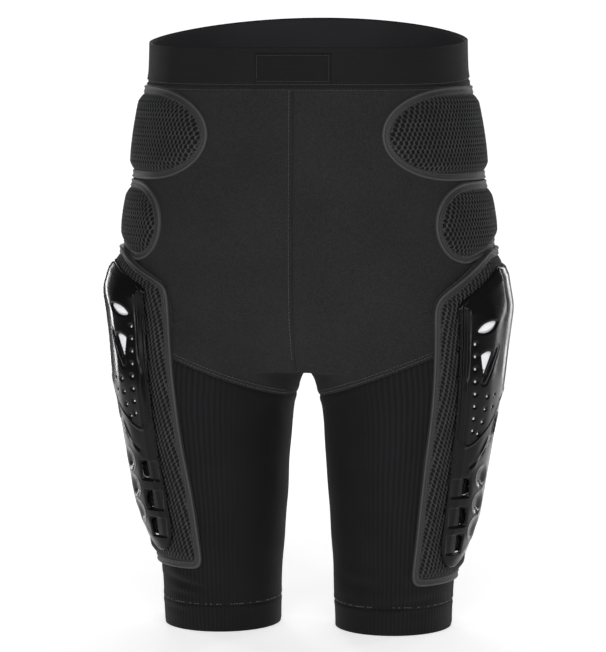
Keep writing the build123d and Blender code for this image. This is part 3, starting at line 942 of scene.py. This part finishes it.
def sample(field, w, z):
    """Bilinear reading of a gridded field."""
    ws, zs, values = field
    i = np.clip((w - ws[0]) / (ws[1] - ws[0]), 0, len(ws) - 1.001)
    j = np.clip((z - zs[0]) / (zs[1] - zs[0]), 0, len(zs) - 1.001)
    i0, j0 = i.astype(int), j.astype(int)
    fi, fj = i - i0, j - j0
    low = values[j0, i0] * (1 - fi) + values[j0, i0 + 1] * fi
    return low * (1 - fj) + (values[j0 + 1, i0] * (1 - fi) + values[j0 + 1, i0 + 1] * fi) * fj


class Pad:
    """A sewn pad: mesh cover over a foam core, edged with a bound and stitched seam."""

    def __init__(self, name, tube, outline, thickness, slot, pitch=4.5, slant=0.0, narrow=1.0):
        self.name, self.tube, self.outline, self.thickness = name, tube, outline, thickness
        self.slot, self.pitch, self.slant, self.narrow = slot, pitch, slant, narrow
        self.blown = inflate(outline) if FINE else None

    def on(self, side):
        return GUARD_SIDE[side] if self.tube is THIGH else self.tube

    def crown(self, w, z, depth):
        """Height of the cover above the fabric."""
        shoulder = smooth(depth, 5.0, 15.0)
        puff = sample(self.blown, w, z) if self.blown else smooth(depth, 3, 36)
        shape = 0.62 * shoulder + 0.38 * np.minimum(puff, 1.0) * smooth(depth, 4, 10)
        return HEM_HEIGHT + (self.thickness - HEM_HEIGHT) * shape - 0.7 * bell(depth - 6.4, 1.1)

    def holes(self, w, z):
        """1 in the middle of each hole of the mesh fabric, 0 on the yarn between. It sets each hole's dip
        and its painted shade.
        """
        p = self.pitch
        u = (w + self.slant * z) / p
        v = z / (0.86 * p)
        near = 9.0
        for shift in (0.0, 0.5):
            du = (u + shift + 0.5) % 1.0 - 0.5
            dv = (v / 2 + shift + 0.5) % 1.0 - 0.5
            near = np.minimum(near, np.hypot(du * p * self.narrow, dv * 2 * 0.86 * p * 0.72))
        return 1 - smooth(near, 1.05, 1.8)

    def cover(self, hand, side):
        quads, (w, z, depth) = cells(self.outline, 0.9 if FINE else 1.6, 2.6)
        hole_and_painted_shade = self.holes(w, z) * smooth(depth, 5.5, 8.0)
        h = self.crown(w, z, depth) - 1.1 * hole_and_painted_shade
        points = self.on(side).place(w, z, h)
        piece = make(self.name + "_mesh" + hand, points, quads, LOOKS[self.slot], side)
        cloth_map(piece, np.c_[w, z])
        # The hole values dip the cover and, in its material, paint the shade inside each hole.
        point_value(piece, "hole_and_painted_shade", hole_and_painted_shade)
        thicken(piece, 1.3)
        stand_for(piece, self.slot, f"{self.name}_cover{hand}")

    def core(self, hand, side):
        """The closed foam slab inside the cover."""
        inset = 8.5
        quads, (w, z, depth) = cells(self.outline, 3.0, inset)
        top = np.maximum(self.crown(w, z, depth) - 2.4 - 0.8 * bell(depth - inset, 3), 0.9)
        name = self.name + "_core" + hand
        piece = slab(name, self.on(side), w, z, top, 0.45, quads, "foam", side)
        stand_for(piece, "foam", f"{self.name}_foam{hand}")

    def binding(self, hand, side):
        profile = [(-1.0, -3.0), (-1.05, 0.6), (-0.8, 1.7), (-0.1, 2.5), (0.6, 2.6), (1.3, 2.2), (1.8, 1.75)]
        profile += [(2.6, 1.95), (3.8, 2.3), (5.0, 2.35), (6.0, 2.15), (6.5, 1.6), (6.6, 0.9)]
        rows, uv, edge = [], [], []
        for d, h in profile:
            line = self.outline.inset(d)
            u = np.arange(len(line)) * 1.2
            wave = 0.06 * np.sin(u * 2 * pi / 3.6) if d > 1.3 else 0.0
            rows.append(self.on(side).place(*line.T, h + wave))
            uv += list(zip(u, np.full(len(line), d)))
            # The edge values mark the rolled edge for its painted highlight.
            edge += [float(bell(d - 0.5, 0.9))] * len(line)
        faces = bands(len(rows), len(rows[0]))
        piece = make(self.name + "_tape" + hand, np.concatenate(rows), faces, LOOKS["binding"], side)
        cloth_map(piece, uv)
        point_value(piece, "edge", edge)
        thicken(piece, 0.6)
        stand_for(piece, "binding", f"{self.name}_binding{hand}")
        line = self.outline.inset(5.1)
        line = np.vstack([line, line[:1]])
        p = self.on(side).place(*line.T, 2.42) * [side, 1, 1]
        n = self.on(side).place(*line.T, 8.0) * [side, 1, 1] - p
        stitches(self.name + "_stitches" + hand, p, n, 2.3, 3.3, 0.26)

    def build(self, hand="", side=1):
        self.cover(hand, side)
        self.core(hand, side)
        self.binding(hand, side)


def slab(name, tube, w, z, top, bottom, quads, slot, side):
    """A closed solid between two heights over the same grid cells."""
    count = len(w)
    points = np.vstack([tube.place(w, z, top), tube.place(w, z, np.full(count, bottom))])
    edges = {}
    for quad in quads:
        for a, b in zip(quad, quad[1:] + quad[:1]):
            if (b, a) in edges:
                del edges[(b, a)]
            else:
                edges[(a, b)] = True
    walls = [[b, a, a + count, b + count] for a, b in edges]
    faces = quads + [[i + count for i in f[::-1]] for f in quads] + walls
    return make(name, points, faces, LOOKS[slot], side)


def pads():
    shapes = [
        Pad("upper_hip_pad", TORSO, UPPER_LINE, 7.8, "spacer_mesh"),
        Pad("lower_hip_pad", TORSO, LOWER_LINE, 6.3, "spacer_mesh"),
        Pad("thigh_pad", THIGH, GUARD_LINE, 9.0, "guard_mesh", 4.2, 0.5, 1.3),
    ]
    for pad in shapes:
        for hand, side in SIDES.items():
            pad.build("_" + hand, side)
    Pad("tailbone_pad", TAIL, TAIL_LINE, 9.0, "spacer_mesh").build()


# --- Thigh shell ---
BASE = 9.6  # the shell's underside, above the thigh surface
WALL = 2.2


def disc(w, z, at, r):
    return np.hypot(w - at[0], z - at[1]) - r


def bar(w, z, at, half_w, half_z, r, lean=0.0):
    """Distance outside a rounded bar."""
    du = np.abs(w - at[0] - lean * (z - at[1])) - half_w + r
    dz = np.abs(z - at[1]) - half_z + r
    return np.hypot(np.maximum(du, 0), np.maximum(dz, 0)) + np.minimum(np.maximum(du, dz), 0) - r


def lens(w, z, a, b, width):
    """Distance outside a leaf with its tips at a and b."""
    a, b = np.array(a), np.array(b)
    half = norm(b - a) / 2
    r = (half * half + (width / 2) ** 2) / width
    across = np.array([-(b - a)[1], (b - a)[0]]) / (2 * half)
    one, two = (a + b) / 2 + across * (r - width / 2), (a + b) / 2 - across * (r - width / 2)
    return np.maximum(disc(w, z, one, r), disc(w, z, two, r))


LEAF = (turned(39.5, 282.5), turned(27.3, 291.0), 8.6)
TRIANGLE_CORNERS = [(36.8, 262), (33.0, 265.0), (29.0, 263.5), (34.6, 240)]
TRIANGLE = Outline([turned(*corner) for corner in TRIANGLE_CORNERS], spread=1.0, step=0.3)
DOTS = [turned(40.5 - 0.25 * i, 272 - 11.2 * i) for i in range(8)]
SIDE_DOTS = [(31.0, 224), (31.6, 212.5), (32.4, 201), (34.6, 190.5), (23.5, 224), (24.2, 213)]
DOTS += [turned(*dot) for dot in SIDE_DOTS]
LOUVRES = [turned(37.0, z) for z in (141.0, 114.0, 89.0)]
DIMPLES = [turned(21.0, z) for z in (148.0, 123.5, 100.5)]
NOTCH = turned(11.5, 195.0)
PLATE_EDGE = [(0, 224), (8, 221), (14.5, 214), (19, 203), (24.5, 195), (30, 188.5), (35, 182), (40, 178)]
PLATE_EDGE += [(43.5, 178), (46.5, 184), (46.5, 200), (46, 230), (42, 270), (38, 296), (20, 312), (0, 316)]
PLATE = Outline(both_halves([turned(-angle, z) for angle, z in PLATE_EDGE]), spread=1.6)


def cut_outs(w, z):
    """Distance outside the nearest opening in the shell. Front and back are alike."""
    w = np.abs(w)
    away = np.minimum(lens(w, z, *LEAF), -TRIANGLE.depth(w, z))
    for at in DOTS:
        away = np.minimum(away, disc(w, z, at, 1.45))
    for at in LOUVRES:
        away = np.minimum(away, bar(w, z, at, 2.5, 7.2, 1.0, 0.14))
    return np.minimum(away, bar(w, z, NOTCH, 3.4, 8.5, 3.2, -0.2))


CROWN_KNOTS = [(54, 3.2), (80, 4.4), (114, 7.0), (150, 8.0), (206, 9.0), (260, 11.3), (300, 13.2)]
CROWN = curve(*CROWN_KNOTS, (322, 12.6), (338, 10.5))


def shell_height(w, z, edge, away):
    """Height of the shell's outer face, from how far it is inside the edge and outside the openings."""
    side = np.abs(w)
    border = 7.5  # the flat rim with its two ridges
    lower = smooth(z, 192, 170)
    roof = smooth(z, 298, 312)
    below = smooth(z, 230, 200)
    from_side = below * edge + (1 - below) * (np.interp(z, FRONT_Z, FRONT_W) - side)
    from_roof = (np.interp(side, ROOF_W, ROOF_Z) - z) * 0.8
    rise = smooth(from_side, border - 1, border + 26 - 8 * lower) * smooth(from_roof, -6, 31)
    step_up = 0.25 * smooth(edge, border - 1.5, border + 2.5) * (1 - roof) + 0.25 * rise * roof
    h = 2.6 + (CROWN(z) - 2.6) * (step_up + 0.75 * rise)
    lip = (1.9 + 0.6 * roof) * smooth(edge, 9.0, 0.0)
    h -= (1.2 + 0.9 * roof) * smooth(edge, 2.2, 0.0) ** 2 + lip
    fade_in = smooth(z, 314, 303)
    ridges = 1.25 * bell(edge - 1.6, 1.0) * smooth(z, 178, 192)
    ridges += 1.25 * bell(edge - 6.4, 1.15) * smooth(z, 186, 250)
    h += ridges * fade_in - 0.7 * bell(edge - 4.0, 1.0) * fade_in * smooth(z, 178, 230)
    plate = PLATE.depth(w, z)
    strength = smooth(z, 262, 205)
    h += strength * (1.7 * smooth(plate, -0.9, 0.9) + 0.7 * bell(plate - 1.2, 0.9))
    crease, along = to_segment(side, z, *turned(19.6, 187), *turned(38, 154))
    h += 1.2 * bell(crease, 2.2) * np.sin(pi * np.clip(along, 0.02, 0.98)) ** 0.5
    crease, along = to_segment(side, z, *turned(15.0, 182), *turned(36, 161))
    h -= 0.9 * bell(crease, 2.0)
    h += 0.8 * bell(bar(side, z, NOTCH, 5.4, 10.5, 5.0, -0.2), 0.9)
    for at in DIMPLES:
        oval = np.hypot((side - at[0] - 0.16 * (z - at[1])) / 12.0, (z - at[1]) / 11.0)
        h -= 3.2 * smooth(1.0 - oval, -0.05, 0.75) - 0.3 * bell(oval - 1.08, 0.1)
    for at in LOUVRES:
        recess = bar(side, z, (at[0] + 6.5, at[1]), 9.0, 9.2, 1.2, 0.14)
        ramp = 0.8 + 2.0 * np.clip(1 - (side - at[0]) / 15.0, 0, 1)
        h -= ramp * smooth(-recess, -0.5, 0.9)
    h -= 0.55 * bell(away, 1.0)
    trench, _ = to_segment(side, z, *turned(25.0, 266), *turned(34.0, 237))
    return h + 0.55 * bell(trench, 0.9) - 0.5 * bell(trench - 2.2, 1.2) * (away > 0.5)


def thigh_shell():
    """The moulded cap, its grid pulled onto the exact edges of its outline and openings."""
    step = 0.8 if FINE else 1.4
    w, z = grid(SHELL_LINE, step)
    shape = w.shape
    w, z = w.ravel(), z.ravel()

    def solid(w, z):
        return np.minimum(SHELL_LINE.depth(w, z), cut_outs(w, z))

    value = solid(w, z)
    near = np.abs(value) < step * 0.62
    wn, zn, vn = w[near], z[near], value[near]
    dw = (solid(wn + 0.1, zn) - vn) / 0.1
    dz = (solid(wn, zn + 0.1) - vn) / 0.1
    size = np.maximum(dw * dw + dz * dz, 0.3)
    w[near] -= vn * dw / size
    z[near] -= vn * dz / size
    value[near] = 0.0
    quads, (w, z) = compact(grid_faces((value > -0.01).reshape(shape)), w, z)
    h = shell_height(w, z, SHELL_LINE.depth(w, z), cut_outs(w, z))
    for hand, side in SIDES.items():
        name = "thigh_shell_" + hand
        piece = make(name + "_cap", GUARD_SIDE[side].place(w, z, BASE + h), quads, LOOKS["shell"], side)
        thicken(piece, WALL)
        stand_for(piece, "shell", name)


def behind_shell(w, z):
    """Where the insert isn't cut away behind the notch and the louvres."""
    clear = bar(np.abs(w), z, NOTCH, 5.5, 10.5, 3)
    for at in LOUVRES:
        clear = np.minimum(clear, bar(np.abs(w), z, (at[0] - 2, at[1] + 1.7), 10.0, 8.0, 1.5))
    return clear > 0


def thigh_insert():
    """Pale foam under the shell, raised to fill the large openings and most of each round hole."""
    quads, (w, z, edge) = cells(SHELL_LINE, 1.0 if FINE else 1.5, 8.5, behind_shell)
    h = shell_height(w, z, edge, np.full_like(w, 9.0)) - WALL - 0.5
    big = np.minimum(lens(np.abs(w), z, *LEAF), -TRIANGLE.depth(np.abs(w), z))
    h += 1.3 * smooth(-big, 0.2, 1.6)
    for at in DOTS:
        h += 1.7 * smooth(1.5 - np.hypot(np.abs(w) - at[0] + 0.8, z - at[1] + 0.8), 0, 1.0)
    h = np.maximum(h, 0.8)
    for hand, side in SIDES.items():
        name = "thigh_insert_" + hand
        piece = slab(name + "_foam", GUARD_SIDE[side], w, z, BASE + h, BASE + 0.1, quads, "white_foam", side)
        stand_for(piece, "white_foam", name)


# --- Studio ---
def camera():
    azimuth, elevation, distance = radians(7.5), radians(5.5), 2.9
    right = np.array([cos(azimuth), sin(azimuth), 0.0])
    ahead = np.array([sin(azimuth), -cos(azimuth), 0.0])
    toward = ahead * cos(elevation) + [0, 0, sin(elevation)]
    look = np.array([0.0, AXIS_Y, 0.274]) - right * 0.0046
    data = bpy.data.cameras.new("camera")
    data.lens = 175.0
    eye = placed("camera", data)
    eye.location = look + toward * distance
    eye.rotation_euler = Vector(toward.tolist()).to_track_quat("Z", "Y").to_euler()
    SCENE.camera = eye


def soft_light(name, at, width, height, power):
    """A rectangular lamp aimed at the middle of the shorts."""
    data = bpy.data.lights.new(name, "AREA")
    data.shape = "RECTANGLE"
    data.size, data.size_y, data.energy = width, height, power
    lamp = placed(name, data)
    lamp.location = at
    lamp.rotation_euler = (Vector((0, 0, 0.3)) - Vector(at)).to_track_quat("-Z", "Y").to_euler()


# Lamps: name, place in metres, width, height, power.
LAMPS = [
    ("front_soft", (0.35, -2.9, 1.25), 2.0, 1.3, 50),
    ("left_strip", (1.7, 1.5, 0.6), 0.13, 2.0, 12),
    ("right_strip", (-1.7, 1.5, 0.6), 0.13, 2.0, 12),
    ("left_edge", (1.5, -2.0, 0.6), 0.06, 1.6, 13),
    ("right_edge", (-1.5, -2.0, 0.6), 0.06, 1.6, 13),
    ("left_rim", (0.95, 2.3, 0.8), 0.25, 2.0, 9),
    ("right_rim", (-0.75, 2.4, 0.8), 0.25, 2.0, 9),
    ("back_soft", (-0.3, 2.8, 2.2), 1.8, 1.8, 26),
]


def studio():
    world = bpy.data.worlds.new("studio")
    world.use_nodes = True
    SCENE.world = world
    tree = world.node_tree
    sky = tree.nodes["Background"]
    sky.inputs["Color"].default_value = (1, 1, 1, 1)
    path = tree.nodes.new("ShaderNodeLightPath")
    level = tree.nodes.new("ShaderNodeMapRange")
    level.inputs["To Min"].default_value = 0.10
    level.inputs["To Max"].default_value = 1.05
    tree.links.new(path.outputs["Is Camera Ray"], level.inputs["Value"])
    tree.links.new(level.outputs[0], sky.inputs["Strength"])
    for lamp in LAMPS:
        soft_light(*lamp)
    turns = np.linspace(0, 2 * pi, 64, endpoint=False)
    floor_points = [(1500 * cos(t), 1500 * sin(t), -0.3) for t in turns]
    n = Nodes("floor_paint", 0.1, Roughness=0.9, Emission_Color=grey(1.0), Emission_Strength=0.5)
    tone = n.noise(1.5, 2.0)
    paint = n.finish(n.mix(tone, grey(0.86), grey(0.9)))
    make("floor", floor_points, [list(range(64))], paint)


# --- All the pieces ---
SCENE.view_settings.view_transform = "Standard"
camera()
garment()
pads()
thigh_shell()
thigh_insert()
studio()
